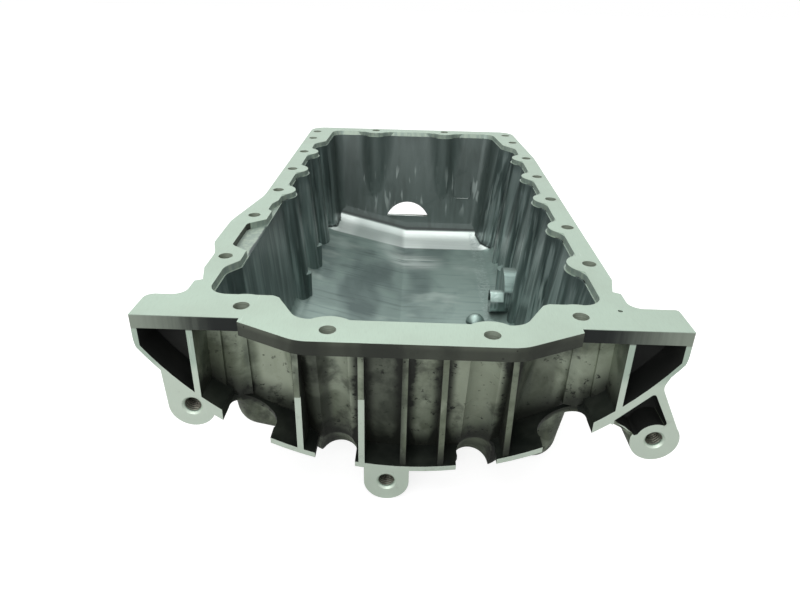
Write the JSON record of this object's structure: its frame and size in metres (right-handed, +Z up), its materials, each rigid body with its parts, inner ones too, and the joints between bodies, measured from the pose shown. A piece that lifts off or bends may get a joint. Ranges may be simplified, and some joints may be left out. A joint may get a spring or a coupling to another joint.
{
  "type": "engine oil pan",
  "caption": "Cast aluminium oil pan: a deep ribbed tub under a bolt flange, with a skirt, ears and threaded lugs for a bell housing and a drain plug.",
  "frame": {"origin": "on the gasket face, midway between the two inner screws of the gearbox end", "axes": "+X to the right seen from the gearbox end, +Y towards the timing end, +Z up to the engine block"},
  "size_m": [0.271, 0.4422, 0.1095],
  "materials": {
    "cast_aluminium": "die-cast skin, machined on the flange, the ears, the lugs and two ribs",
    "plug_steel": "plain zinc-plated",
    "seal_aluminium": "soft and plain"
  },
  "bodies": {
    "root": {"pan_casting": "cast_aluminium", "drain_plug": "plug_steel", "drain_plug_seal": "seal_aluminium"}
  },
  "joints": []
}
